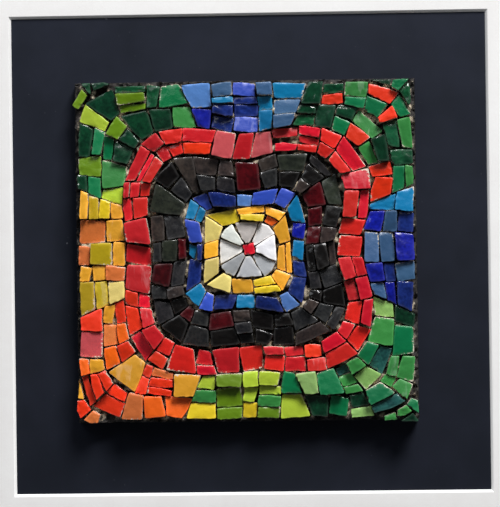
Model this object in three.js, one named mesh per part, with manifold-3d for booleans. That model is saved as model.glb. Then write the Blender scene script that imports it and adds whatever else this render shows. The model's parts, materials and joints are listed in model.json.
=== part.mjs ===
// A small wall mosaic: cut glass and glazed tesserae set in mortar on a base board,
// mounted on a dark backing board inside a bevelled window mat.
// Millimetres. +Z is up and the picture faces -Y. The origin is the middle of the back, on the wall.
import * as THREE from "three";
import { mergeVertices } from "three/addons/utils/BufferGeometryUtils.js";
import Module from "manifold-3d";

const wasm = await Module();
wasm.setup();

// Boards and mat
const BOARD_SIDE = 300;
const BOARD_THICKNESS = 3;
const MAT_THICKNESS = 1.4;
const WINDOW_WIDTH = 210;
const WINDOW_HEIGHT = 211;
const WINDOW_BEVEL = 1.1;

// Mosaic, and where its middle lies from the middle of the window
const MOSAIC_SIDE = 150;
const MOSAIC_RIGHT = -1.5;
const MOSAIC_UP = 1.2;
const BASE_THICKNESS = 6;
const MORTAR_THICKNESS = 2;

// Tesserae
const TESSERA_LENGTH = 9.3;
const TESSERA_DEPTH = 8.2;
const TESSERA_HEIGHT = 4.6;
const TALL_EXTRA = 3.4;
const JOINT_WIDTH = 0.3;
const FIELD_GAP = 0.3;
// A row's inner sides cut straight across its curve, so they are laid this much further out
const ROW_CLEARANCE = 0.5;
const EDGE_MARGIN = 1.4;
const SMALLEST_SIDE = 1.8;
const SMALLEST_AREA = 14;
const SHORTEST_EDGE = 1.3;

// Hand-laid unevenness. The whole pattern wavers by this much, over about this length
const WAVER = 1.5;
const WAVER_LENGTH = 62;
// Joints stray by a share of a tessera's size, lean by this many millimetres, and the border comes and goes.
// Where a row runs at a slant, its joints turn with it by this share
const JOINT_JITTER = 0.27;
const STACK_JITTER = 0.28;
const JOINT_LEAN = 0.7;
const SQUARENESS = 0.85;
const BORDER_JITTER = 1.1;
// Some columns stack one tessera more or one less than their depth asks for
const MORE_CHANCE = 0.22;
const FEWER_CHANCE = 0.15;
// Each tessera loses a share of its corners, and is turned and tilted, in radians
const CORNER_LOSS = 0.12;
const TURN = 0.11;
const TILT = 0.12;
// Some stand proud of the rest
const TALL_CHANCE = 0.26;
const HEIGHT_JITTER = 1.5;

// The rosette's bands end at these shares of the mosaic's half side, measured midway between lobe and waist
const HEART_EDGE = 0.03;
const WHITE_EDGE = 0.185;
const YELLOW_EDGE = 0.29;
const BLUE_EDGE = 0.39;
const BLACK_EDGE = 0.61;
const RED_EDGE = 0.785;
const LOBES = 4;
const LOBE_DEPTH = 0.125;
const FULL_LOBE_SHARE = 0.36;
const BORDER_ROUNDING = 9;
const HEART_TURN = 0.2;
const WHITE_COUNT = 8;
const CORNER_FIELD_SPREAD = 0.42;

// Straight steps in a quarter turn of a mortar edge, and in measuring one along a quarter
const CURVE_STEPS = 10;
const MEASURING_STEPS = 48;

const HALF = MOSAIC_SIDE / 2;
const QUARTER = Math.PI / 2;
const BASE_BACK = BOARD_THICKNESS;
const MORTAR_BACK = BASE_BACK + BASE_THICKNESS;
const MORTAR_FRONT = MORTAR_BACK + MORTAR_THICKNESS;

const COLOURS = {
  board: 0x23262e,
  mat: 0xe6e4e2,
  base: 0x17171a,
  mortar: 0xb5a78f,
  white: 0xd9d7d4,
  yellow: 0xe6b73a,
  blue: 0x2b4fb0,
  black: 0x262326,
  red: 0xcf2527,
  green: 0x2c7d45,
  lime: 0x8db13c,
  orange: 0xe8612b,
};

// Random numbers that depend on a piece's name alone, so one piece's count never shifts another's
function randomFor(name) {
  let state = [...name].reduce((sum, letter) => Math.imul(sum, 31) + letter.charCodeAt(0), 7) >>> 0;
  return (low = 0, high = 1) => {
    state = (state + 0x6d2b79f5) >>> 0;
    let mixed = Math.imul(state ^ (state >>> 15), state | 1);
    mixed ^= mixed + Math.imul(mixed ^ (mixed >>> 7), mixed | 61);
    return low + (high - low) * (((mixed ^ (mixed >>> 14)) >>> 0) / 4294967296);
  };
}

// Solids

function solidFrom(geometry) {
  const bare = geometry.index ? geometry.toNonIndexed() : geometry.clone();
  bare.deleteAttribute("normal");
  bare.deleteAttribute("uv");
  const merged = mergeVertices(bare, 1e-4);
  return new wasm.Manifold(
    new wasm.Mesh({
      numProp: 3,
      vertProperties: merged.attributes.position.array,
      triVerts: new Uint32Array(merged.index.array),
    }),
  );
}

function geometryFrom(solid) {
  const mesh = solid.getMesh();
  const positions = new Float32Array(mesh.numVert * 3);
  for (let i = 0; i < mesh.numVert; i++) {
    positions.set(mesh.vertProperties.subarray(i * mesh.numProp, i * mesh.numProp + 3), i * 3);
  }
  const geometry = new THREE.BufferGeometry();
  geometry.setAttribute("position", new THREE.BufferAttribute(positions, 3));
  geometry.setIndex(new THREE.BufferAttribute(mesh.triVerts, 1));
  geometry.computeVertexNormals();
  return geometry;
}

const slab = (outline, thickness) =>
  new THREE.ExtrudeGeometry(new THREE.Shape(outline), { depth: thickness, bevelEnabled: false });

// A box whose front is wider than its back by the same slope all round
function flaredBox(width, height, depth, flare) {
  const geometry = new THREE.BoxGeometry(width, height, depth);
  const corners = geometry.attributes.position;
  for (let i = 0; i < corners.count; i++) {
    const grow = corners.getZ(i) > 0 ? flare : 0;
    corners.setX(i, corners.getX(i) + Math.sign(corners.getX(i)) * grow);
    corners.setY(i, corners.getY(i) + Math.sign(corners.getY(i)) * grow);
  }
  return geometry;
}

// Outlines in the panel's plane, anticlockwise

const polar = (radius, angle) =>
  new THREE.Vector2(radius * Math.cos(angle), radius * Math.sin(angle));

function middleOf(outline) {
  const sum = outline.reduce((total, point) => total.add(point), new THREE.Vector2());
  return sum.divideScalar(outline.length);
}

// The outline with every side moved inwards by the same distance
function shrink(outline, distance) {
  const count = outline.length;
  const sides = outline.map((point, i) => {
    const along = outline[(i + 1) % count].clone().sub(point).normalize();
    const inwards = new THREE.Vector2(-along.y, along.x);
    return { start: point.clone().addScaledVector(inwards, distance), along };
  });
  return sides.map((side, i) => {
    const before = sides[(i + count - 1) % count];
    const cross = before.along.cross(side.along);
    if (Math.abs(cross) < 1e-6) return side.start.clone();
    const reach = side.start.clone().sub(before.start).cross(side.along) / cross;
    return before.start.clone().addScaledVector(before.along, reach);
  });
}

// The part of a convex outline that lies inside another
function clipTo(outline, bounds) {
  return bounds.reduce((points, start, side) => {
    const along = bounds[(side + 1) % bounds.length].clone().sub(start);
    const room = (point) => along.cross(point.clone().sub(start));
    const kept = [];
    points.forEach((point, i) => {
      const next = points[(i + 1) % points.length];
      const here = room(point);
      const there = room(next);
      if (here >= 0) kept.push(point);
      if (here * there < 0) kept.push(point.clone().lerp(next, here / (here - there)));
    });
    return kept;
  }, outline);
}

function square(half) {
  const corners = [[half, half], [-half, half], [-half, -half], [half, -half]];
  return corners.map(([x, y]) => new THREE.Vector2(x, y));
}

// Points closer together than this are one corner
function withoutShortSides(outline) {
  return outline.filter((point, i) => {
    const before = outline[(i + outline.length - 1) % outline.length];
    return point.distanceTo(before) > SHORTEST_EDGE;
  });
}

// The narrowest that an outline is, measured square to one of its sides
function shortestSpan(outline) {
  return Math.min(
    ...outline.map((point, i) => {
      const along = outline[(i + 1) % outline.length].clone().sub(point).normalize();
      const offsets = outline.map((other) => along.cross(other.clone().sub(point)));
      return Math.max(...offsets) - Math.min(...offsets);
    }),
  );
}

// The pattern's curves

function rosetteRadius(share, angle) {
  const lobing = LOBE_DEPTH * THREE.MathUtils.smoothstep(share, HEART_EDGE, FULL_LOBE_SHARE);
  return share * HALF * (1 - lobing * Math.cos(LOBES * angle));
}

// Outside the rosette the rows even out towards the square border: 0 is the rosette, 1 the border
function groundRadius(step, angle) {
  const start = rosetteRadius(RED_EDGE, angle);
  const power = BORDER_ROUNDING;
  const spread = Math.abs(Math.cos(angle)) ** power + Math.abs(Math.sin(angle)) ** power;
  const border = (HALF - EDGE_MARGIN) / spread ** (1 / power);
  return start + step * (border - start);
}

// The whole pattern wavers a little, as hand-laid rows do, but its border stays square
function waver(point) {
  const { x, y } = point;
  const fade = (across) => Math.max(0, 1 - (across / HALF) ** 6);
  const wave = (across, start) => Math.sin((2 * Math.PI * across) / WAVER_LENGTH + start);
  const reach = WAVER * fade(x) * fade(y);
  const right = reach * wave(y, 1.3) * wave(0.6 * x, 2);
  const up = reach * wave(x, 2.1) * wave(0.7 * y, 2.5);
  return new THREE.Vector2(x + right, y + up);
}

// How far a joint's ends lie to its sides where it crosses a row square to it instead of along the radius
function slant(radiusAt, depthAt, angle) {
  const step = QUARTER / MEASURING_STEPS;
  const slope = (radiusAt(angle + step) - radiusAt(angle - step)) / (2 * step);
  return (SQUARENESS * slope * depthAt(angle)) / (2 * radiusAt(angle));
}

// Angles that cut a row of this depth into pieces of about one length, with a little hand-laid unevenness
function cutAngles(radiusAt, depthAt, from, to, length, random) {
  const samples = MEASURING_STEPS;
  const angleAt = (i) => from + ((to - from) * i) / samples;
  const pointAt = (i) => polar(radiusAt(angleAt(i)), angleAt(i));
  const lengths = [0];
  for (let i = 1; i <= samples; i++) {
    lengths.push(lengths[i - 1] + pointAt(i - 1).distanceTo(pointAt(i)));
  }
  const count = Math.max(1, Math.round(lengths[samples] / length));
  const angles = [];
  for (let k = 0; k <= count; k++) {
    const inside = k > 0 && k < count;
    const stray = inside ? random(-JOINT_JITTER, JOINT_JITTER) : 0;
    const wanted = ((k + stray) / count) * lengths[samples];
    let i = 1;
    while (i < samples && lengths[i] < wanted) i++;
    const angle = angleAt(i - 1 + (wanted - lengths[i - 1]) / (lengths[i] - lengths[i - 1]));
    const lean = inside ? slant(radiusAt, depthAt, angle) + random(-JOINT_LEAN, JOINT_LEAN) : 0;
    const turn = lean / radiusAt(angle);
    angles.push({ inner: angle + turn, outer: angle - turn });
  }
  return angles;
}

// One column of a band, from its inner to its outer curve, as one tessera or a stack of them
function column(innerAt, outerAt, start, end, pieces, random) {
  const cuts = [0];
  for (let i = 1; i < pieces; i++) cuts.push((i + random(-STACK_JITTER, STACK_JITTER)) / pieces);
  cuts.push(1);
  const corner = (share, side) => {
    const angle = THREE.MathUtils.lerp(side.inner, side.outer, share);
    return polar(THREE.MathUtils.lerp(innerAt(angle), outerAt(angle), share), angle);
  };
  return cuts.slice(1).map((outerCut, i) => {
    const innerCut = cuts[i];
    return [
      corner(innerCut, start),
      corner(outerCut, start),
      corner(outerCut, end),
      corner(innerCut, end),
    ];
  });
}

// A band's cells between two angles. Its depth decides how many tesserae a column stacks
function bandCells(innerAt, outerAt, from, to, random) {
  const middleAt = (angle) => (innerAt(angle) + outerAt(angle)) / 2;
  const depthAt = (angle) => outerAt(angle) - innerAt(angle);
  const cells = [];
  const angles = cutAngles(middleAt, depthAt, from, to, TESSERA_LENGTH, random);
  for (let k = 1; k < angles.length; k++) {
    const depth = depthAt((angles[k - 1].inner + angles[k].inner) / 2);
    const usual = Math.max(1, Math.round(depth / TESSERA_DEPTH));
    const chance = random();
    const more = chance < MORE_CHANCE ? 1 : 0;
    const fewer = chance > 1 - FEWER_CHANCE && usual > 1 ? 1 : 0;
    const most = Math.max(1, Math.floor(depth / (SMALLEST_SIDE + 2 * JOINT_WIDTH)));
    const pieces = Math.min(usual + more - fewer, most);
    cells.push(...column(innerAt, outerAt, angles[k - 1], angles[k], pieces, random));
  }
  return cells;
}

// The ground's cells: rows two tesserae deep from the rosette to the border, then what is left in a corner
function groundCells(from, to, random) {
  const middle = (from + to) / 2;
  const rowDepth = 2 * TESSERA_DEPTH;
  const depth = groundRadius(1, middle) - groundRadius(0, middle);
  const rows = Math.max(1, Math.round(depth / rowDepth));
  const cornerRows = Math.ceil((HALF * Math.SQRT2) / rowDepth);
  const cells = [];
  for (let row = 0; row < rows + cornerRows; row++) {
    const innerAt = (angle) => groundRadius(row / rows, angle);
    const outerAt = (angle) => groundRadius((row + 1) / rows, angle);
    const clipped = bandCells(innerAt, outerAt, from, to, random)
      .map((cell) => clipTo(cell, square(HALF - EDGE_MARGIN - random(-BORDER_JITTER, BORDER_JITTER))))
      .filter((cell) => cell.length > 2 && THREE.ShapeUtils.area(cell) > SMALLEST_AREA);
    cells.push(...clipped);
  }
  return cells;
}

// Tesserae

// A tessera is cut a little smaller and more uneven than the cell it is laid in, and turned a little
function handCut(cell, random) {
  const room = shrink(cell.map(waver), JOINT_WIDTH / 2);
  const middle = middleOf(room);
  const turn = random(-TURN, TURN);
  const stone = room.map((corner) => {
    return corner.clone().lerp(middle, random(0, CORNER_LOSS)).rotateAround(middle, turn);
  });
  return withoutShortSides(clipTo(stone, room));
}

// One tessera standing on the mortar, its top a little out of level and its height its own
function tessera(outline, random) {
  const tall = random() < TALL_CHANCE;
  const extra = tall ? random(TALL_EXTRA / 2, TALL_EXTRA) : random(-HEIGHT_JITTER, HEIGHT_JITTER);
  const height = TESSERA_HEIGHT + extra;
  const tilt = new THREE.Vector2(random(-TILT, TILT), random(-TILT, TILT));
  const middle = middleOf(outline);
  const geometry = slab(outline, height);
  const corners = geometry.attributes.position;
  for (let i = 0; i < corners.count; i++) {
    if (corners.getZ(i) < height / 2) continue;
    const away = new THREE.Vector2(corners.getX(i), corners.getY(i)).sub(middle);
    corners.setZ(i, corners.getZ(i) + away.dot(tilt));
  }
  return geometry.translate(0, 0, MORTAR_FRONT);
}

function tesseraeIn(cells, random) {
  return cells
    .map((cell) => handCut(cell, random))
    .filter((outline) => outline.length > 2 && shortestSpan(outline) > SMALLEST_SIDE)
    .map((outline) => tessera(outline, random));
}

// The mortar under one field: a slab that follows the field's edges
function mortarUnder(outline) {
  const laid = shrink(outline.map(waver), FIELD_GAP / 2);
  return slab(laid, MORTAR_THICKNESS).translate(0, 0, MORTAR_BACK);
}

// Fields on both sides of a curve take its points at the same angles, so their slabs never cross.
// A step that would end too near a field's own end is left out
function curve(radiusAt, from, to) {
  const step = QUARTER / CURVE_STEPS;
  const angles = [];
  for (let i = Math.ceil(from / step + 0.25); i < to / step - 0.25; i++) angles.push(i * step);
  return [from, ...angles, to].map((angle) => polar(radiusAt(angle), angle));
}

// The points between a seam's two ends, the same ones whichever field asks for them
function seam(start, end) {
  return [1, 2, 3].map((part) => start.clone().lerp(end, part / 4));
}

// An outline from its inner and outer sides, both listed anticlockwise, and the seams between their ends
function between(inner, outer) {
  const last = (side) => side[side.length - 1];
  const away = seam(inner[0], outer[0]);
  const back = seam(last(inner), last(outer)).reverse();
  return [...away, ...outer, ...back, ...inner.reverse()];
}

// From the rosette out to the square edge of the base board, with its corner where the field has one
function groundOutline(from, to) {
  const onEdge = (angle) => {
    const reach = HALF / Math.max(Math.abs(Math.cos(angle)), Math.abs(Math.sin(angle)));
    return polar(reach, angle);
  };
  const corner = (Math.floor(from / QUARTER) + 0.5) * QUARTER;
  const outer = corner > from && corner < to ? [from, corner, to] : [from, to];
  return between(curve((angle) => groundRadius(0, angle), from, to), outer.map(onEdge));
}

// Named meshes

const panel = new THREE.Group();
panel.rotation.x = Math.PI / 2;

const mosaic = new THREE.Group();
mosaic.position.set(MOSAIC_RIGHT, MOSAIC_UP, 0);
panel.add(mosaic);

function addMesh(parent, name, geometry, colour, roughness) {
  const material = new THREE.MeshStandardMaterial({ color: colour, roughness, metalness: 0 });
  const mesh = new THREE.Mesh(geometry, material);
  mesh.name = name;
  parent.add(mesh);
}

function addField(name, outline, cells, colour, random) {
  const pieces = [mortarUnder(outline), ...tesseraeIn(cells, random)].map(solidFrom);
  const whole = wasm.Manifold.union(pieces);
  addMesh(mosaic, name, geometryFrom(whole), colour, 0.35);
}

function backingBoard() {
  const board = new THREE.BoxGeometry(BOARD_SIDE, BOARD_SIDE, BOARD_THICKNESS);
  addMesh(panel, "backing_board", board.translate(0, 0, BOARD_THICKNESS / 2), COLOURS.board, 0.6);
}

// The mat lies on the backing board. Its window is cut at a slope, so the opening widens to the front
function windowMat() {
  const overcut = 1;
  const slope = WINDOW_BEVEL / MAT_THICKNESS;
  const sheet = new THREE.BoxGeometry(BOARD_SIDE, BOARD_SIDE, MAT_THICKNESS);
  const depth = MAT_THICKNESS + 2 * overcut;
  const narrow = 2 * slope * overcut;
  const cutter = flaredBox(WINDOW_WIDTH - narrow, WINDOW_HEIGHT - narrow, depth, slope * depth);
  const mat = solidFrom(sheet).subtract(solidFrom(cutter));
  const middle = BOARD_THICKNESS + MAT_THICKNESS / 2;
  addMesh(panel, "window_mat", geometryFrom(mat).translate(0, 0, middle), COLOURS.mat, 0.85);
}

function baseBoard() {
  const board = new THREE.BoxGeometry(MOSAIC_SIDE, MOSAIC_SIDE, BASE_THICKNESS);
  const middle = BASE_BACK + BASE_THICKNESS / 2;
  addMesh(mosaic, "base_board", board.translate(0, 0, middle), COLOURS.base, 0.8);
}

// The middle of the rosette: one square red tessera with white ones round it, each a piece of its own
function heart() {
  const edge = (angle) => rosetteRadius(WHITE_EDGE, angle);
  const outline = curve(edge, 0, 2 * Math.PI).slice(0, -1);
  addMesh(mosaic, "heart_mortar", mortarUnder(outline), COLOURS.mortar, 0.9);

  const random = randomFor("heart");
  const reach = HEART_EDGE * HALF;
  const centre = new THREE.Vector2();
  const turned = square(reach).map((corner) => waver(corner.rotateAround(centre, HEART_TURN)));
  addMesh(mosaic, "heart_tessera", tessera(turned, random), COLOURS.red, 0.3);

  // Their joints alternate between the heart's sides and corners, so side pieces are the wider ones
  const step = (2 * Math.PI) / WHITE_COUNT;
  const jointAt = (turn) => (turn + 0.6 + 0.08 * (-1) ** turn) * step;
  for (let i = 0; i < WHITE_COUNT; i++) {
    const ends = [jointAt(i), jointAt(i + 1)];
    const outer = [ends[0], (ends[0] + ends[1]) / 2, ends[1]].map((angle) => polar(edge(angle), angle));
    const inner = ends.map((angle) => polar(reach * Math.SQRT2, angle)).reverse();
    const stone = tessera(handCut([...outer, ...inner], random), random);
    addMesh(mosaic, `white_tessera_${i + 1}`, stone, COLOURS.white, 0.4);
  }
}

// A band of the rosette is four lobes, each a field of its own. Their joints are set off from band to band
function band(name, innerShare, outerShare, offset) {
  const innerAt = (angle) => rosetteRadius(innerShare, angle);
  const outerAt = (angle) => rosetteRadius(outerShare, angle);
  const laidFrom = (angle) => innerAt(angle) + ROW_CLEARANCE;
  ["top_right", "top_left", "bottom_left", "bottom_right"].forEach((place, quadrant) => {
    const from = quadrant * QUARTER + offset;
    const field = `${name}_tesserae_${place}`;
    const random = randomFor(field);
    const cells = bandCells(laidFrom, outerAt, from, from + QUARTER, random);
    const outline = between(
      curve(innerAt, from, from + QUARTER),
      curve(outerAt, from, from + QUARTER),
    );
    addField(field, outline, cells, COLOURS[name], random);
  });
}

// The ground is a field at each side and in each corner
function ground() {
  const sideSpread = QUARTER / 2 - CORNER_FIELD_SPREAD;
  const fields = [
    ["blue", "right"],
    ["green", "top_right"],
    ["blue", "top"],
    ["green", "top_left"],
    ["yellow", "left"],
    ["orange", "bottom_left"],
    ["lime", "bottom"],
    ["green", "bottom_right"],
  ];
  fields.forEach(([colour, place], i) => {
    const middle = (i * QUARTER) / 2;
    const spread = i % 2 ? CORNER_FIELD_SPREAD : sideSpread;
    const field = `${colour}_ground_${place}`;
    const random = randomFor(field);
    const cells = groundCells(middle - spread, middle + spread, random);
    const outline = groundOutline(middle - spread, middle + spread);
    addField(field, outline, cells, COLOURS[colour], random);
  });
}

backingBoard();
windowMat();
baseBoard();
heart();
band("yellow", WHITE_EDGE, YELLOW_EDGE, 0.2);
band("blue", YELLOW_EDGE, BLUE_EDGE, -0.15);
band("black", BLUE_EDGE, BLACK_EDGE, 0.1);
band("red", BLACK_EDGE, RED_EDGE, -0.08);
ground();

export default panel;
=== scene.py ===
"""A small mosaic panel: hand-cut tesserae in a mortar bed, on a dark board inside a window mat."""

import json
import math
import random

import bmesh
import bpy
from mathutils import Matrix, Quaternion, Vector
from mathutils.kdtree import KDTree


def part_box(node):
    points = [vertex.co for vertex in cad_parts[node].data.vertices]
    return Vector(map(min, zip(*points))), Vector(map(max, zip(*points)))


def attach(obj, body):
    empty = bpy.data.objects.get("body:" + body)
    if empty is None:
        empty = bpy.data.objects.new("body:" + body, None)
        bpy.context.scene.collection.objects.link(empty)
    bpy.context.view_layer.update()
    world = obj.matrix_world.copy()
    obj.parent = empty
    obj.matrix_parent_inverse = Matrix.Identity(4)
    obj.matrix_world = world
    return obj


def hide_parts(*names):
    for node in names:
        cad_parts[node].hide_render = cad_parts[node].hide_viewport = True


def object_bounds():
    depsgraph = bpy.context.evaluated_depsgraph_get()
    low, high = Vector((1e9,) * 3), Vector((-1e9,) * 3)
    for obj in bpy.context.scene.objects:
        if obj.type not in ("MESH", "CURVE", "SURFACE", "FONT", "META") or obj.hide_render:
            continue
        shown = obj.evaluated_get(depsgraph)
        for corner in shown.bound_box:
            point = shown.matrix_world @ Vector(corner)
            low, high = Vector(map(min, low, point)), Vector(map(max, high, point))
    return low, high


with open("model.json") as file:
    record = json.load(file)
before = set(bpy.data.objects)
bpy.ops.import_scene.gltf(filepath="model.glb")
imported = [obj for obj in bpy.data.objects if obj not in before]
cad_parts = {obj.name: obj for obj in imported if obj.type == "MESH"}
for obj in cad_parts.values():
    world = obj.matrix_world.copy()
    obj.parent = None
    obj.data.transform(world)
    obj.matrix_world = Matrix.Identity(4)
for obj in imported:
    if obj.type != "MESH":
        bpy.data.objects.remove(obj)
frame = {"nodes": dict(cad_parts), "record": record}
cad_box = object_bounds()
slot_of = {part["node"]: part["material_slot"] for part in frame["record"]["subparts"]}

MM = 0.001
WELD = 0.002 * MM

# Places, from the frame
base_low, base_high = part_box("base_board")
mortar_low, mortar_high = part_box("heart_mortar")
MAT_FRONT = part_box("window_mat")[0].y
MORTAR_BACK = mortar_high.y
MORTAR_FRONT = mortar_low.y
MOSAIC_CENTRE = (base_low + base_high) / 2
MOSAIC_SIDE = base_high.x - base_low.x

# The camera looks at the middle of the window, a little from the right. Its angles are in degrees
LOOK_AT = Vector((-0.1 * MM, MAT_FRONT, 0.04 * MM))
CAMERA_DISTANCE = 0.9
CAMERA_AZIMUTH = 1.55
CAMERA_ELEVATION = -0.2
CAMERA_ROLL = 0.78
FRAME_HEIGHT_SEEN = 224.3 * MM
SENSOR = 36

# The floor lies well below the panel, so that it throws little light back up
FLOOR_BELOW = 2.1
FLOOR_SIZE = 24
FLOOR_TONE = 0.62

# Stones. Each stands in the mortar on a foot that is a little wider than its top and not quite under it
TOP_ABOVE_MORTAR = 2 * MM
STONE_FOOT = MORTAR_FRONT + 0.5 * MM
FOOT_SPREAD = 1.03
FOOT_SHIFT = 0.35 * MM
FOOT_WANDER = (0.5, 0.7)
STONE_SUBDIVISIONS = 3
GROWTH = 0.2 * MM

# At the border of the mosaic the stones step in and out
NEAR_BORDER = 1.6 * MM
BORDER_STEP_OUT = (-0.3 * MM, 0.9 * MM)

# How squarely to the front a top's faces and points look, as the y of their normals
TOP_FACE = -0.9
TOP_POINT = -0.97
RIM_TOP_FACE = -0.8
RIM_SIDE_FACE = 0.4

# A stone's top falls away towards its arris
ARRIS = 0.22 * MM
CUSHION_DROP = 0.16 * MM
CUSHION_REACH = 0.7 * MM

# Hand cutting: how broad each unevenness is, and how far it moves the stone
WOBBLE_SIZE = 3.2 * MM
WOBBLE = 0.5 * MM
CHIP_SIZE = 1.3 * MM
CHIP = 0.65 * MM
DENT_SIZE = 2.6 * MM
DENT = 1.1 * MM
RIVEN_GLASS = (0.5, 1.7)
RIVEN_GLAZE = (0.05, 0.35)

# Firing: no two stones of a glaze have quite the same tone or hue
TONE_RANGE = (0.74, 1.06)
HUE_RANGE = (0.96, 1.04)
DEEP_SHADE = (0.45, 0.48, 0.55, 1)
BRIGHT_SHADE = (1.4, 1.35, 1.3, 1)
WHITE = (1, 1, 1, 1)
GLAZE_THINNEST = 0.36 * MM
GLAZE_THICKEST = 0.5 * MM
# How far in from a stone's rim the painted highlight reaches, partly also glaze thinning
HIGHLIGHT_RIM_WIDTH = 1.0 * MM
MARBLED_LOTS = 0.93
MARBLING = 0.22

# Mortar. Its sheet ends inside the mosaic's border, and its lumps stay above its flat back
MORTAR_STEPS = 230
MORTAR_SET_IN = 0.6 * MM
MORTAR_BED_BACK = MORTAR_BACK - 0.1 * MM
LOWEST_MORTAR = MORTAR_BACK - 0.4 * MM
TALLEST_LUMP = 2.8 * MM
LUMP_SIZE = 3.5 * MM
LUMP_HEIGHT = 7.5 * MM
SAND_SIZE = 0.9 * MM
SAND_HEIGHT = 0.9 * MM
LUMP_LEVEL = 0.43
RAGGED_SIZE = 2.4 * MM
RAGGEDNESS = 3.2 * MM
RAGGED_REACH = 1.5 * MM
STAIN_REACH = 2.2 * MM

# Boards and mat
BASE_ARRIS = 0.5 * MM
BATTER_SIZE = 5 * MM
BATTER = 0.7 * MM
BATTER_LEVEL = 0.8
BOARD_ARRIS = 0.25 * MM
MAT_ARRIS = 0.08 * MM

# Edges sharper than these many degrees stay sharp
STONE_SMOOTH = 40
MORTAR_SMOOTH = 60
BASE_SMOOTH = 50
BOARD_SMOOTH = 30
MAT_SMOOTH = 25

# Each glaze's colour, and whether it is an opaque glaze on a pale body or glass coloured through
GLAZES = {
    "pearl": ("#f3f2f0", 0), "silver": ("#b2b3b6", 0), "bone": ("#cdc6ba", 0),
    "lemon": ("#e6c722", 0), "straw": ("#e0cb74", 0), "amber": ("#efa92b", 0),
    "ochre": ("#c98f1f", 0), "mustard": ("#c4a61c", 0),
    "vermilion": ("#ec3514", 0), "tangerine": ("#fa6812", 0), "salmon": ("#dd7639", 0),
    "scarlet": ("#d8241c", 0), "coral": ("#cc5257", 0), "cherry": ("#cc1d25", 0),
    "crimson": ("#d8132b", 0), "oxblood": ("#45060d", 1),
    "royal": ("#324eb8", 0), "cobalt": ("#121c94", 1), "navy": ("#16296a", 1),
    "cerulean": ("#0674a4", 0), "slate": ("#36597f", 0), "cornflower": ("#5a88ce", 0),
    "bottle": ("#0a3521", 1), "emerald": ("#077343", 0), "leaf": ("#36863f", 0),
    "lime": ("#aec838", 0), "olive": ("#688c15", 0), "teal": ("#235853", 1),
    "apple": ("#8fba68", 0), "fir": ("#0e4a2c", 1),
    "charcoal": ("#2a2a2b", 1), "umber": ("#352e2b", 1), "jet": ("#0d0b0a", 1),
    "moss": ("#272c24", 1),
}

# What is laid where: the share of each glaze in each field, matched by the start of the node's name
LAID = {
    "heart": {"crimson": 1},
    "white": {"pearl": 5, "silver": 3, "bone": 1},
    "yellow_tesserae": {"lemon": 3, "straw": 3, "amber": 4, "ochre": 1, "tangerine": 1},
    "blue_tesserae": {"royal": 3, "cerulean": 3, "navy": 2, "slate": 2, "cornflower": 2, "cobalt": 1},
    "black_tesserae": {"charcoal": 4, "umber": 3, "jet": 4, "oxblood": 2, "moss": 1},
    "red_tesserae": {"scarlet": 5, "cherry": 4, "crimson": 3, "coral": 1, "vermilion": 1},
    "green_ground_top_left": {"bottle": 3, "fir": 2, "emerald": 4, "leaf": 3, "olive": 2, "lime": 1},
    "blue_ground_top": {"royal": 3, "navy": 3, "cerulean": 3, "slate": 1, "cobalt": 1, "cornflower": 1},
    "green_ground_top_right": {"leaf": 3, "bottle": 3, "fir": 2, "emerald": 2, "vermilion": 2},
    "blue_ground_right": {"navy": 3, "slate": 2, "cerulean": 3, "cobalt": 2, "cornflower": 2},
    "green_ground_bottom_right": {"emerald": 3, "leaf": 3, "teal": 2, "apple": 2, "bottle": 2},
    "lime_ground_bottom": {"lime": 4, "olive": 3, "leaf": 2, "emerald": 1, "lemon": 2},
    "orange_ground_bottom_left": {"vermilion": 5, "tangerine": 3, "salmon": 4, "amber": 2, "coral": 1},
    "yellow_ground_left": {"amber": 4, "straw": 3, "mustard": 3, "lemon": 2, "salmon": 1},
}


def linear(hex_colour):
    """A colour written in the usual six digits, as the linear numbers that shaders use."""
    parts = [int(hex_colour[i : i + 2], 16) / 255 for i in (1, 3, 5)]
    return tuple(p / 12.92 if p <= 0.04045 else ((p + 0.055) / 1.055) ** 2.4 for p in parts) + (1.0,)


# Working on a piece

def select_only(piece):
    """Deselects everything but the piece and makes it the active one."""
    bpy.ops.object.select_all(action="DESELECT")
    piece.select_set(True)
    bpy.context.view_layer.objects.active = piece


def edit(piece):
    """Opens the piece for editing, with nothing selected."""
    select_only(piece)
    bpy.ops.object.mode_set(mode="EDIT")
    bpy.ops.mesh.select_mode(type="FACE")
    bpy.ops.mesh.select_all(action="DESELECT")


def leave_edit():
    bpy.ops.object.mode_set(mode="OBJECT")


def select_where(piece, parts, test):
    """Selects the faces, edges or vertices of the piece in edit mode that pass the test."""
    mesh = bmesh.from_edit_mesh(piece.data)
    for part in getattr(mesh, parts):
        if test(part):
            part.select_set(True)
    bmesh.update_edit_mesh(piece.data)


def modify(piece, kind, **settings):
    """Adds a modifier and applies it."""
    select_only(piece)
    modifier = piece.modifiers.new(kind.lower(), kind)
    for name, value in settings.items():
        setattr(modifier, name, value)
    bpy.ops.object.modifier_apply(modifier=modifier.name)


def smooth(piece, degrees):
    """Shades the piece smooth but for edges sharper than this."""
    select_only(piece)
    bpy.ops.object.shade_smooth_by_angle(angle=math.radians(degrees))


def clouds(name, size, depth=2):
    """A cloud texture of this size."""
    texture = bpy.data.textures.new(name, "CLOUDS")
    texture.noise_scale = size
    texture.noise_depth = depth
    return texture


def roughen(piece, texture, strength, direction, group, level=0.5):
    """Moves the points of a vertex group by a cloud texture, whose tone at the level moves nothing."""
    modify(piece, "DISPLACE", texture=texture, texture_coords="LOCAL", strength=strength, mid_level=level,
           direction=direction, vertex_group=group)


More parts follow.
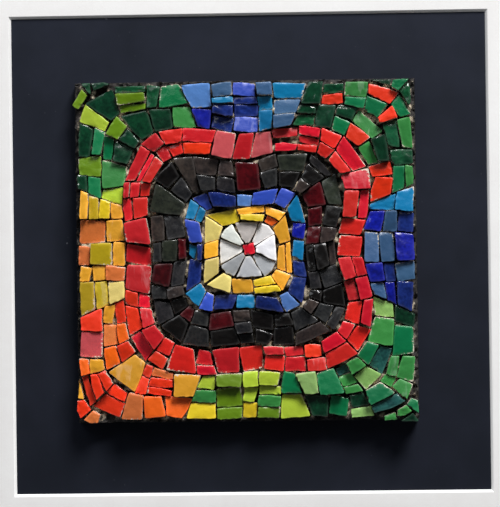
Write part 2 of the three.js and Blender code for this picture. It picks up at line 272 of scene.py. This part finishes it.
def copy_of(node, name):
    """The shape of a CAD node as a new piece, its loose triangles joined."""
    piece = bpy.data.objects.new(name, frame["nodes"][node].data.copy())
    bpy.context.collection.objects.link(piece)
    piece.data.materials.clear()
    edit(piece)
    bpy.ops.mesh.customdata_custom_splitnormals_clear()
    bpy.ops.mesh.select_all(action="SELECT")
    bpy.ops.mesh.remove_doubles(threshold=WELD)
    leave_edit()
    return piece


def finish_piece(piece, slot, replaced, *materials):
    """Gives the piece its materials and its body, and hides the CAD nodes that it stands for. The slot is
    not used.
    """
    for material in materials:
        piece.data.materials.append(material)
    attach(piece, "root")
    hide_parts(*replaced)


# Shader parts that more than one finish uses

class Nodes:
    """A node tree under construction: adds nodes and joins their sockets."""

    def __init__(self, tree):
        self.tree = tree

    def put(self, value, socket):
        """Joins another node's output to the socket, or sets a plain value."""
        if isinstance(value, bpy.types.NodeSocket):
            self.tree.links.new(value, socket)
        else:
            socket.default_value = value

    def add(self, kind, inputs=None, **settings):
        node = self.tree.nodes.new("ShaderNode" + kind)
        for name, value in settings.items():
            setattr(node, name, value)
        for socket, value in (inputs or {}).items():
            self.put(value, node.inputs[socket])
        return node

    def math(self, operation, a, b=0.0, clamp=False):
        return self.add("Math", {0: a, 1: b}, operation=operation, use_clamp=clamp).outputs[0]

    def ramp(self, value, low, high):
        """0 below low, 1 above high, and smooth between."""
        node = self.add("MapRange", {"Value": value, "From Min": low, "From Max": high},
                        interpolation_type="SMOOTHSTEP")
        return node.outputs[0]

    def mix(self, factor, a, b, blend="MIX"):
        node = self.tree.nodes.new("ShaderNodeMix")
        node.data_type = "RGBA"
        node.blend_type = blend
        for socket, value in ((0, factor), (6, a), (7, b)):
            self.put(value, node.inputs[socket])
        return node.outputs[2]

    def attribute(self, name, output="Fac"):
        return self.add("Attribute", attribute_name=name).outputs[output]

    def place(self):
        return self.add("TexCoord").outputs["Object"]

    def shared(self, tree, place, **values):
        """One of the shared groups, worked out at a place."""
        node = self.add("Group", node_tree=tree)
        self.tree.links.new(place, node.inputs["Place"])
        for name, value in values.items():
            node.inputs[name.replace("_", " ")].default_value = value
        return node.outputs[0]


def group(name, output, *numbers):
    """A new node group that takes a place and some numbers and gives one number."""
    tree = bpy.data.node_groups.new(name, "ShaderNodeTree")
    tree.interface.new_socket("Place", in_out="INPUT", socket_type="NodeSocketVector")
    for number in numbers:
        tree.interface.new_socket(number, in_out="INPUT", socket_type="NodeSocketFloat")
    tree.interface.new_socket(output, in_out="OUTPUT", socket_type="NodeSocketFloat")
    given = tree.nodes.new("NodeGroupInput").outputs
    asked = tree.nodes.new("NodeGroupOutput").inputs
    return tree, Nodes(tree), given, asked


def make_mottling():
    """Cloudy variation from 0 to 1: broad patches with finer ones over them."""
    tree, nodes, given, asked = group("mottling", "Value", "Patches per metre", "Fine share")
    place = given["Place"]
    scale = given["Patches per metre"]
    broad = nodes.add("TexNoise", {"Vector": place, "Scale": scale, "Detail": 2.0})
    fine_scale = nodes.math("MULTIPLY", scale, 5.3)
    fine = nodes.add("TexNoise", {"Vector": place, "Scale": fine_scale, "Detail": 3.0})
    keep = nodes.math("SUBTRACT", 1.0, given["Fine share"])
    both = nodes.math(
        "ADD",
        nodes.math("MULTIPLY", broad.outputs["Fac"], keep),
        nodes.math("MULTIPLY", fine.outputs["Fac"], given["Fine share"]),
    )
    tree.links.new(nodes.ramp(both, 0.3, 0.7), asked["Value"])
    return tree


def make_specks():
    """Small scattered dots, 1 inside a dot: dust, pinholes and grains."""
    tree, nodes, given, asked = group("specks", "Mask", "Cells per metre", "Share", "Dot size")
    cells = nodes.add("TexVoronoi", {"Vector": given["Place"], "Scale": given["Cells per metre"]})
    chosen = nodes.add("SeparateColor", {"Color": cells.outputs["Color"]}).outputs[0]
    kept = nodes.math("LESS_THAN", chosen, given["Share"])
    near = nodes.math("LESS_THAN", cells.outputs["Distance"], given["Dot size"])
    tree.links.new(nodes.math("MULTIPLY", kept, near), asked["Mask"])
    return tree


MOTTLING = make_mottling()
SPECKS = make_specks()


def mottled(nodes, place, per_metre, fine=0.35):
    return nodes.shared(MOTTLING, place, Patches_per_metre=per_metre, Fine_share=fine)


def specks(nodes, place, per_metre, share, size):
    return nodes.shared(SPECKS, place, Cells_per_metre=per_metre, Share=share, Dot_size=size)


def new_material(name, roughness=0.5):
    material = bpy.data.materials.new(name)
    material.use_nodes = True
    nodes = Nodes(material.node_tree)
    surface = material.node_tree.nodes["Principled BSDF"]
    surface.inputs["Roughness"].default_value = roughness
    return material, nodes, surface


def feed(nodes, surface, **sockets):
    """Joins values to the surface's sockets, with underscores for spaces."""
    for name, value in sockets.items():
        nodes.tree.links.new(value, surface.inputs[name.replace("_", " ")])


def bumped(nodes, height, distance, strength=1.0):
    bump = nodes.add("Bump", {"Height": height, "Distance": distance, "Strength": strength})
    return bump.outputs[0]


# Finishes

def cut_glaze():
    """The stones: an opaque glaze over a pale biscuit body, or glass coloured through."""
    material, nodes, surface = new_material("cut_glaze")
    place = nodes.place()
    glaze = nodes.attribute("glaze", "Color")
    lot = nodes.attribute("lot")
    glassy = nodes.attribute("glassy")
    depth = nodes.attribute("depth")
    rim = nodes.attribute("rim")
    aside = nodes.add("CombineXYZ", {0: lot, 1: lot, 2: lot}).outputs[0]
    own_place = nodes.add("VectorMath", {0: place, 1: aside}).outputs[0]

    patches = mottled(nodes, own_place, 170, 0.45)
    deep = nodes.mix(1.0, glaze, DEEP_SHADE, "MULTIPLY")
    bright = nodes.mix(1.0, glaze, BRIGHT_SHADE, "MULTIPLY")
    glass = nodes.mix(patches, deep, bright)
    calm = nodes.mix(nodes.math("MULTIPLY", patches, 0.5), nodes.mix(0.2, glaze, deep), glaze)
    drawn_out = nodes.add("Mapping", {"Vector": own_place, "Rotation": (0, 0.6, 0), "Scale": (1, 1, 0.22)})
    flow = nodes.add("TexNoise", {"Vector": drawn_out.outputs[0], "Scale": 330.0, "Distortion": 0.8})
    marbled = nodes.math("MULTIPLY", nodes.math("GREATER_THAN", lot, MARBLED_LOTS), MARBLING)
    veins = nodes.math("MULTIPLY", nodes.ramp(flow.outputs["Fac"], 0.52, 0.66), marbled)
    calm = nodes.mix(veins, calm, nodes.mix(0.35, bright, WHITE))
    colour = nodes.mix(glassy, calm, glass)

    # Painted highlight round each stone's rim: the colour turns paler towards white where the stone ends,
    # partly also the glass and glaze thinning there
    thin_glaze_and_highlight = nodes.math("SUBTRACT", 1.0, nodes.ramp(rim, 0.0, HIGHLIGHT_RIM_WIDTH))
    rim_highlight_tint = nodes.mix(0.03, bright, WHITE)
    colour = nodes.mix(nodes.math("MULTIPLY", thin_glaze_and_highlight, 0.5), colour, rim_highlight_tint)

    grains = specks(nodes, place, 900, 0.06, 0.2)
    colour = nodes.mix(nodes.math("MULTIPLY", grains, 0.35), colour, deep)

    # The glaze is under a millimetre thick, and the body shows below it
    edge = nodes.math("ADD", depth, nodes.math("MULTIPLY", mottled(nodes, place, 900), 0.35 * MM))
    body_shows = nodes.math("MULTIPLY", nodes.ramp(edge, GLAZE_THINNEST, GLAZE_THICKEST),
                            nodes.math("SUBTRACT", 1.0, glassy))
    body = nodes.mix(mottled(nodes, place, 1200), linear("#b7a891"), linear("#efe7d8"))
    colour = nodes.mix(body_shows, colour, body)

    gloss = nodes.math("SUBTRACT", nodes.math("MULTIPLY", lot, 0.25), nodes.math("MULTIPLY", glassy, 0.15))
    roughness = nodes.math("ADD", gloss, 0.2)
    roughness = nodes.math("ADD", roughness, nodes.math("MULTIPLY", body_shows, 0.5), clamp=True)

    ripple = nodes.add("TexNoise", {"Vector": own_place, "Scale": 420.0, "Detail": 4.0, "Roughness": 0.55})
    feed(nodes, surface, Base_Color=colour, Roughness=roughness,
         Normal=bumped(nodes, ripple.outputs["Fac"], 0.35 * MM, 0.5))
    surface.inputs["IOR"].default_value = 1.52
    return material


def mortar_finish():
    """Sandy cream mortar, darkened in the low joints by painted shade with some grime, and stained black
    towards the outside.
    """
    material, nodes, surface = new_material("mortar", 0.9)
    place = nodes.place()
    height = nodes.attribute("height")
    stain = nodes.attribute("stain")
    sand = nodes.mix(mottled(nodes, place, 700, 0.6), linear("#8d7d68"), linear("#e3d6bd"))
    dirt_and_shade = nodes.mix(mottled(nodes, place, 400), linear("#15120f"), linear("#3a322a"))
    # Painted shade with some grime: the deeper the mortar lies between the stones, the darker, down to
    # near black
    colour = nodes.mix(nodes.ramp(height, 0.4 * MM, 1.7 * MM), dirt_and_shade, sand)
    black = nodes.mix(mottled(nodes, place, 600), linear("#0c0b0c"), linear("#3a3634"))
    edge = nodes.math("ADD", stain, nodes.math("MULTIPLY", mottled(nodes, place, 240), 0.5))
    colour = nodes.mix(nodes.ramp(edge, 0.45, 0.8), colour, black)
    grain = nodes.add("TexNoise", {"Vector": place, "Scale": 2400.0, "Detail": 4.0})
    feed(nodes, surface, Base_Color=colour, Normal=bumped(nodes, grain.outputs["Fac"], 0.25 * MM, 0.8))
    return material


def dark_board_finish():
    """Smooth blue-black board with a fine tooth, a little dust and faint rubbed marks."""
    material, nodes, surface = new_material("dark_board")
    place = nodes.place()
    tone = nodes.mix(mottled(nodes, place, 24, 0.3), linear("#191c24"), linear("#1f222c"))
    tooth = nodes.add("TexNoise", {"Vector": place, "Scale": 3000.0, "Detail": 2.0}).outputs["Fac"]
    tone = nodes.mix(nodes.math("MULTIPLY", tooth, 0.12), tone, linear("#3a3f4a"))
    dust = specks(nodes, place, 110, 0.12, 0.055)
    fine_dust = specks(nodes, place, 420, 0.05, 0.1)
    dusty = nodes.math("ADD", nodes.math("MULTIPLY", dust, 0.16), nodes.math("MULTIPLY", fine_dust, 0.05))
    colour = nodes.mix(dusty, tone, linear("#b9bdc4"))
    roughness = nodes.math("ADD", nodes.math("MULTIPLY", mottled(nodes, place, 30), 0.12), 0.65)
    surface.inputs["Specular IOR Level"].default_value = 0.06
    feed(nodes, surface, Base_Color=colour, Roughness=roughness,
         Normal=bumped(nodes, tooth, 0.05 * MM, 0.5))
    return material


def raw_board_finish():
    """The board's bare brown fibre, on its back and edges."""
    material, nodes, surface = new_material("raw_board", 0.85)
    place = nodes.place()
    drawn_out = nodes.add("Mapping", {"Vector": place, "Scale": (1, 1, 4)}).outputs[0]
    fibres = nodes.add("TexNoise", {"Vector": drawn_out, "Scale": 500.0, "Detail": 5.0}).outputs["Fac"]
    colour = nodes.mix(fibres, linear("#6a5139"), linear("#ab8a63"))
    colour = nodes.mix(nodes.math("MULTIPLY", mottled(nodes, place, 14), 0.5), colour, linear("#7d6248"))
    flecks = specks(nodes, place, 170, 0.22, 0.16)
    colour = nodes.mix(nodes.math("MULTIPLY", flecks, 0.45), colour, linear("#4d3a29"))
    feed(nodes, surface, Base_Color=colour, Normal=bumped(nodes, fibres, 0.15 * MM, 0.6))
    return material


def black_paint_finish():
    """The base board's thick black paint, rubbed grey here and there."""
    material, nodes, surface = new_material("black_paint", 0.55)
    place = nodes.place()
    colour = nodes.mix(mottled(nodes, place, 260, 0.5), linear("#0d0c0e"), linear("#232124"))
    rubbed = specks(nodes, place, 600, 0.08, 0.25)
    colour = nodes.mix(nodes.math("MULTIPLY", rubbed, 0.4), colour, linear("#6d665e"))
    drag = nodes.add("TexNoise", {"Vector": place, "Scale": 900.0, "Detail": 4.0}).outputs["Fac"]
    feed(nodes, surface, Base_Color=colour, Normal=bumped(nodes, drag, 0.2 * MM, 0.7))
    return material


def mat_paper_finish():
    """The window mat's off-white face paper, with a soft felt texture."""
    material, nodes, surface = new_material("mat_paper", 0.9)
    place = nodes.place()
    felt = nodes.add("TexNoise", {"Vector": place, "Scale": 1300.0, "Detail": 4.0}).outputs["Fac"]
    colour = nodes.mix(mottled(nodes, place, 60), linear("#e5e4e3"), linear("#e9e9e8"))
    colour = nodes.mix(nodes.math("MULTIPLY", felt, 0.25), colour, linear("#d4d2d0"))
    feed(nodes, surface, Base_Color=colour, Normal=bumped(nodes, felt, 0.06 * MM, 0.6))
    return material


def mat_core_finish():
    """The bright white core that the bevel cut opens."""
    material, nodes, surface = new_material("mat_core", 0.85)
    place = nodes.place()
    fibres = nodes.add("TexNoise", {"Vector": place, "Scale": 2600.0, "Detail": 3.0}).outputs["Fac"]
    colour = nodes.mix(fibres, linear("#e9e9e8"), linear("#f7f7f6"))
    feed(nodes, surface, Base_Color=colour, Normal=bumped(nodes, fibres, 0.05 * MM, 0.6))
    return material


# Stones

def islands(mesh):
    """The separate stones in a mesh, each a list of its vertices."""
    seen, found = set(), []
    for start in mesh.verts:
        if start in seen:
            continue
        seen.add(start)
        stone, front = [], [start]
        while front:
            vertex = front.pop()
            stone.append(vertex)
            for edge in vertex.link_edges:
                other = edge.other_vert(vertex)
                if other not in seen:
                    seen.add(other)
                    front.append(other)
        found.append(stone)
    return found


def is_top(face):
    """Whether a face is part of a stone's top, and not of the mortar between the stones."""
    return face.normal.y < TOP_FACE and all(v.co.y < MORTAR_FRONT - TOP_ABOVE_MORTAR for v in face.verts)


def cut_stones(node):
    """The closed stones of one field, raised from the tops of its CAD solid."""
    stones = copy_of(node, node + "_stones")
    edit(stones)
    select_where(stones, "faces", lambda face: not is_top(face))
    bpy.ops.mesh.delete(type="FACE")
    bpy.ops.mesh.select_all(action="SELECT")
    bpy.ops.mesh.dissolve_limited(angle_limit=math.radians(1))
    leave_edit()
    modify(stones, "SUBSURF", subdivision_type="SIMPLE", levels=STONE_SUBDIVISIONS,
           render_levels=STONE_SUBDIVISIONS)
    edit(stones)
    bpy.ops.mesh.select_all(action="SELECT")
    bpy.ops.mesh.extrude_region_move(TRANSFORM_OT_translate={"value": (0, 1 * MM, 0)})
    bpy.ops.transform.resize(value=(1, 0, 1), center_override=(0, STONE_FOOT, 0))
    bpy.ops.mesh.dissolve_faces()
    bpy.ops.mesh.select_all(action="SELECT")
    bpy.ops.mesh.normals_make_consistent(inside=False)
    bpy.ops.mesh.select_mode(type="EDGE")
    bpy.ops.mesh.select_all(action="DESELECT")
    select_where(stones, "edges", is_rim)
    bpy.ops.mesh.bevel(offset=ARRIS, segments=2, profile=0.5, affect="EDGES")
    leave_edit()
    return stones


def is_rim(edge):
    """Where a stone's top meets one of its sides."""
    if len(edge.link_faces) != 2:
        return False
    tilts = sorted(face.normal.y for face in edge.link_faces)
    return tilts[0] < RIM_TOP_FACE and abs(tilts[1]) < RIM_SIDE_FACE


def glazes_for(node):
    """The glazes that a field is laid with, and their shares."""
    laid = next(shares for start, shares in LAID.items() if node.startswith(start))
    return list(laid), list(laid.values())


def fired(chance, names, shares):
    """One stone's colour, whether it is glass, the number of its lot and how riven its top is."""
    colour, is_glass = GLAZES[chance.choices(names, shares)[0]]
    tone = chance.uniform(*TONE_RANGE)
    tint = [c * tone * chance.uniform(*HUE_RANGE) for c in linear(colour)[:3]]
    return tint, is_glass, chance.random(), chance.uniform(*(RIVEN_GLASS if is_glass else RIVEN_GLAZE))


def rim_of(stone, tops, centre, facing):
    """The points round a stone's top, in a tree that finds the nearest one."""
    points = [v for v in stone if v not in tops and (v.co - centre).dot(facing) > -ARRIS]
    tree = KDTree(len(points))
    for i, v in enumerate(points):
        tree.insert(v.co, i)
    tree.balance()
    return tree


def mark_stones(piece, node):
    """Gives each stone its glaze, and each point its depth below the top and its distance from the rim."""
    chance = random.Random(node)
    names, shares = glazes_for(node)
    mesh = bmesh.new()
    mesh.from_mesh(piece.data)
    layers = mesh.verts.layers
    glaze = layers.float_color.new("glaze")
    lot, glassy, depth, rim = (layers.float.new(n) for n in ("lot", "glassy", "depth", "rim"))
    weights = layers.deform.verify()
    new_group = piece.vertex_groups.new
    cushion, riven, outline = (new_group(name=n).index for n in ("cushion", "riven", "outline"))
    for stone in islands(mesh):
        tint, is_glass, number, riven_by = fired(chance, names, shares)
        shift = Vector((chance.gauss(*FOOT_WANDER), 0, chance.gauss(*FOOT_WANDER))) * FOOT_SHIFT
        tops = [v for v in stone if v.normal.y < TOP_POINT]
        centre = sum((v.co for v in tops), Vector()) / len(tops)
        facing = sum((v.normal for v in tops), Vector()).normalized()
        top_points = set(tops)
        nearest_rim = rim_of(stone, top_points, centre, facing)
        for v in stone:
            below = 0.0 if v in top_points else max(0.0, -(v.co - centre).dot(facing))
            away = nearest_rim.find(v.co)[2]
            is_upper = below < 1.5 * ARRIS
            v[glaze] = (*tint, 1.0)
            v[lot] = number
            v[glassy] = is_glass
            v[depth] = below
            v[rim] = away if is_upper else 0.0
            v[weights][cushion] = math.exp(-away / CUSHION_REACH) if is_upper else 0.0
            v[weights][riven] = riven_by if is_upper else 0.0
            v[weights][outline] = 1.0
        spread = 1 + GROWTH / max((v.co - centre).length for v in tops)
        step_out = out_of_border(tops) * chance.uniform(*BORDER_STEP_OUT)
        for v in stone:
            is_foot = v.co.y > STONE_FOOT - 0.1 * MM
            widen(v, centre, spread * FOOT_SPREAD if is_foot else spread)
            v.co += step_out
            if is_foot:
                v.co += shift
    mesh.to_mesh(piece.data)
    mesh.free()


def out_of_border(points):
    """The way out of the square mosaic for a stone at its border, and nothing for the others."""
    way = Vector()
    for v in points:
        away = v.co - MOSAIC_CENTRE
        if max(abs(away.x), abs(away.z)) > MOSAIC_SIDE / 2 - NEAR_BORDER:
            way = Vector((away.x, 0, 0)) if abs(away.x) > abs(away.z) else Vector((0, 0, away.z))
            break
    return way.normalized()


def widen(vertex, centre, factor):
    """Moves a point away from a stone's middle line, across the panel's face only."""
    vertex.co.x = centre.x + (vertex.co.x - centre.x) * factor
    vertex.co.z = centre.z + (vertex.co.z - centre.z) * factor


def lay_stones(node, finish, wobble, chips, dents):
    """One field's stones, cut, fired and worn."""
    piece = cut_stones(node)
    mark_stones(piece, node)
    modify(piece, "DISPLACE", strength=CUSHION_DROP, mid_level=0, direction="Y", vertex_group="cushion")
    roughen(piece, wobble, WOBBLE, "RGB_TO_XYZ", "outline")
    roughen(piece, chips, CHIP, "RGB_TO_XYZ", "cushion")
    roughen(piece, dents, DENT, "Y", "riven")
    modify(piece, "SUBSURF", levels=1, render_levels=1)
    piece.vertex_groups.clear()
    smooth(piece, STONE_SMOOTH)
    finish_piece(piece, slot_of[node], [node], finish)


def lay_all_stones():
    finish = cut_glaze()
    wobble = clouds("outline_wobble", WOBBLE_SIZE)
    chips = clouds("edge_chips", CHIP_SIZE, 1)
    dents = clouds("riven_dents", DENT_SIZE, 3)
    for node in sorted(frame["nodes"]):
        if "tesser" in node or "ground" in node:
            lay_stones(node, finish, wobble, chips, dents)


# The mortar bed

def mortar_bed():
    """One sheet of mortar under all the stones, lumpy in the joints and ragged and black at its edge."""
    bpy.ops.object.select_all(action="DESELECT")
    bpy.ops.mesh.primitive_grid_add(
        x_subdivisions=MORTAR_STEPS, y_subdivisions=MORTAR_STEPS, size=MOSAIC_SIDE - 2 * MORTAR_SET_IN,
        location=(MOSAIC_CENTRE.x, MORTAR_FRONT, MOSAIC_CENTRE.z), rotation=(math.pi / 2, 0, 0))
    bed = bpy.context.object
    bed.name = "mortar_bed"
    bpy.ops.object.transform_apply(location=True, rotation=True, scale=True)
    mark_mortar(bed)
    edit(bed)
    bpy.ops.mesh.select_all(action="SELECT")
    bpy.ops.mesh.extrude_region_move(TRANSFORM_OT_translate={"value": (0, 1 * MM, 0)})
    bpy.ops.transform.resize(value=(1, 0, 1), center_override=(0, MORTAR_BED_BACK, 0))
    bpy.ops.mesh.dissolve_faces()
    bpy.ops.mesh.select_all(action="SELECT")
    bpy.ops.mesh.normals_make_consistent(inside=False)
    leave_edit()
    roughen(bed, clouds("ragged_edge", RAGGED_SIZE, 3), RAGGEDNESS, "RGB_TO_XYZ", "ragged")
    roughen(bed, clouds("mortar_lumps", LUMP_SIZE), -LUMP_HEIGHT, "Y", "lumps", LUMP_LEVEL)
    roughen(bed, clouds("mortar_sand", SAND_SIZE), -SAND_HEIGHT, "Y", "lumps")
    measure_mortar(bed)
    bed.vertex_groups.clear()
    smooth(bed, MORTAR_SMOOTH)
    fields = [n for n in sorted(frame["nodes"]) if "_tesserae_" in n or "ground" in n]
    finish_piece(bed, slot_of["heart_mortar"], ["heart_mortar", *fields], mortar_finish())


def near_border(point, reach):
    """1 at the mosaic's square border and outside it, and less and less further in."""
    across = abs(point.x - MOSAIC_CENTRE.x)
    up = abs(point.z - MOSAIC_CENTRE.z)
    inside = MOSAIC_SIDE / 2 - max(across, up)
    return math.exp(-max(0.0, inside) / reach)


def mark_mortar(bed):
    """Weights for the lumps, everywhere, and for the ragged edge, near the border."""
    lumps = bed.vertex_groups.new(name="lumps")
    ragged = bed.vertex_groups.new(name="ragged")
    for vertex in bed.data.vertices:
        lumps.add([vertex.index], 1.0, "REPLACE")
        ragged.add([vertex.index], near_border(vertex.co, RAGGED_REACH), "REPLACE")


def measure_mortar(bed):
    """Keeps the lumps above the bed's back, and notes how high and how near the border each point is."""
    height = bed.data.attributes.new("height", "FLOAT", "POINT")
    stain = bed.data.attributes.new("stain", "FLOAT", "POINT")
    for vertex in bed.data.vertices:
        if vertex.co.y < MORTAR_BACK - 0.2 * MM:
            vertex.co.y = min(vertex.co.y, LOWEST_MORTAR)
            vertex.co.y = max(vertex.co.y, MORTAR_FRONT - TALLEST_LUMP)
        height.data[vertex.index].value = MORTAR_FRONT - vertex.co.y
        stain.data[vertex.index].value = near_border(vertex.co, STAIN_REACH)


# Boards and mat

def base_board():
    """The board that carries the mosaic, its painted edges a little battered."""
    board = copy_of("base_board", "base_board_painted")
    edit(board)
    bpy.ops.mesh.select_all(action="SELECT")
    bpy.ops.mesh.tris_convert_to_quads()
    bpy.ops.mesh.subdivide(number_cuts=40)
    bpy.ops.mesh.subdivide(number_cuts=1)
    leave_edit()
    modify(board, "BEVEL", width=BASE_ARRIS, segments=2, limit_method="ANGLE")
    modify(board, "DISPLACE", texture=clouds("battered_edge", BATTER_SIZE, 3), texture_coords="LOCAL",
           strength=BATTER, mid_level=BATTER_LEVEL, direction="NORMAL")
    smooth(board, BASE_SMOOTH)
    finish_piece(board, slot_of["base_board"], ["base_board"], black_paint_finish())


def assign_where(piece, number, test):
    """Gives the faces that pass the test the piece's material of that number."""
    for face in piece.data.polygons:
        if test(face):
            face.material_index = number


def backing_board():
    """The board behind everything: dark face in front, and bare fibre on its back and edges."""
    board = copy_of("backing_board", "backing_board_faced")
    modify(board, "BEVEL", width=BOARD_ARRIS, segments=3, limit_method="ANGLE")
    finishes = (dark_board_finish(), raw_board_finish())
    finish_piece(board, slot_of["backing_board"], ["backing_board"], *finishes)
    assign_where(board, 1, lambda face: face.normal.y > -0.5)
    smooth(board, BOARD_SMOOTH)


def window_mat():
    """The mat: face paper in front, and the bright core on the window's bevel and the outer edges."""
    mat = copy_of("window_mat", "window_mat_cut")
    modify(mat, "BEVEL", width=MAT_ARRIS, segments=2, limit_method="ANGLE")
    finish_piece(mat, slot_of["window_mat"], ["window_mat"], mat_paper_finish(), mat_core_finish())
    assign_where(mat, 1, lambda face: abs(face.normal.y) < 0.9)
    smooth(mat, MAT_SMOOTH)


# Studio

def area_light(name, place, size, power, colour):
    """A square light turned to the frame's origin."""
    data = bpy.data.lights.new(name, "AREA")
    data.size = size
    data.energy = power
    data.color = colour
    light = bpy.data.objects.new(name, data)
    light.location = place
    light.rotation_euler = (-Vector(place)).to_track_quat("-Z", "Y").to_euler()
    bpy.context.collection.objects.link(light)


def studio():
    scene = bpy.context.scene
    scene.view_settings.view_transform = "Standard"
    scene.view_settings.look = "None"
    world = bpy.data.worlds.new("studio")
    world.use_nodes = True
    background = world.node_tree.nodes["Background"]
    background.inputs["Color"].default_value = (0.9, 0.93, 1.0, 1)
    background.inputs["Strength"].default_value = 0.068
    scene.world = world
    area_light("key", place=(0.59, -1.12, 1.54), size=0.7, power=60, colour=(1.0, 0.99, 0.985))
    area_light("sky", place=(-0.65, -1.1, 1.2), size=1.2, power=8, colour=(0.92, 0.96, 1.0))
    area_light("behind", place=(0.6, 1.3, 0.7), size=1.0, power=14, colour=(1.0, 0.98, 0.95))


def floor():
    bpy.ops.object.select_all(action="DESELECT")
    bpy.ops.mesh.primitive_plane_add(size=FLOOR_SIZE, location=(0, 0, cad_box[0].z - FLOOR_BELOW))
    ground = bpy.context.object
    ground.name = "floor"
    material, _, surface = new_material("pale_floor", 0.8)
    surface.inputs["Base Color"].default_value = (FLOOR_TONE, FLOOR_TONE, FLOOR_TONE, 1)
    ground.data.materials.append(material)


def camera():
    data = bpy.data.cameras.new("camera")
    data.sensor_width = SENSOR
    data.lens = SENSOR * CAMERA_DISTANCE / FRAME_HEIGHT_SEEN
    seen_from = bpy.data.objects.new("camera", data)
    around, above = math.radians(CAMERA_AZIMUTH), math.radians(CAMERA_ELEVATION)
    level = math.cos(above)
    back = Vector((math.sin(around) * level, -math.cos(around) * level, math.sin(above)))
    seen_from.location = LOOK_AT + back * CAMERA_DISTANCE
    roll = Quaternion(back, -math.radians(CAMERA_ROLL))
    seen_from.rotation_euler = (roll @ (-back).to_track_quat("-Z", "Y")).to_euler()
    bpy.context.collection.objects.link(seen_from)
    bpy.context.scene.camera = seen_from


studio()
camera()
floor()
backing_board()
window_mat()
base_board()
mortar_bed()
lay_all_stones()
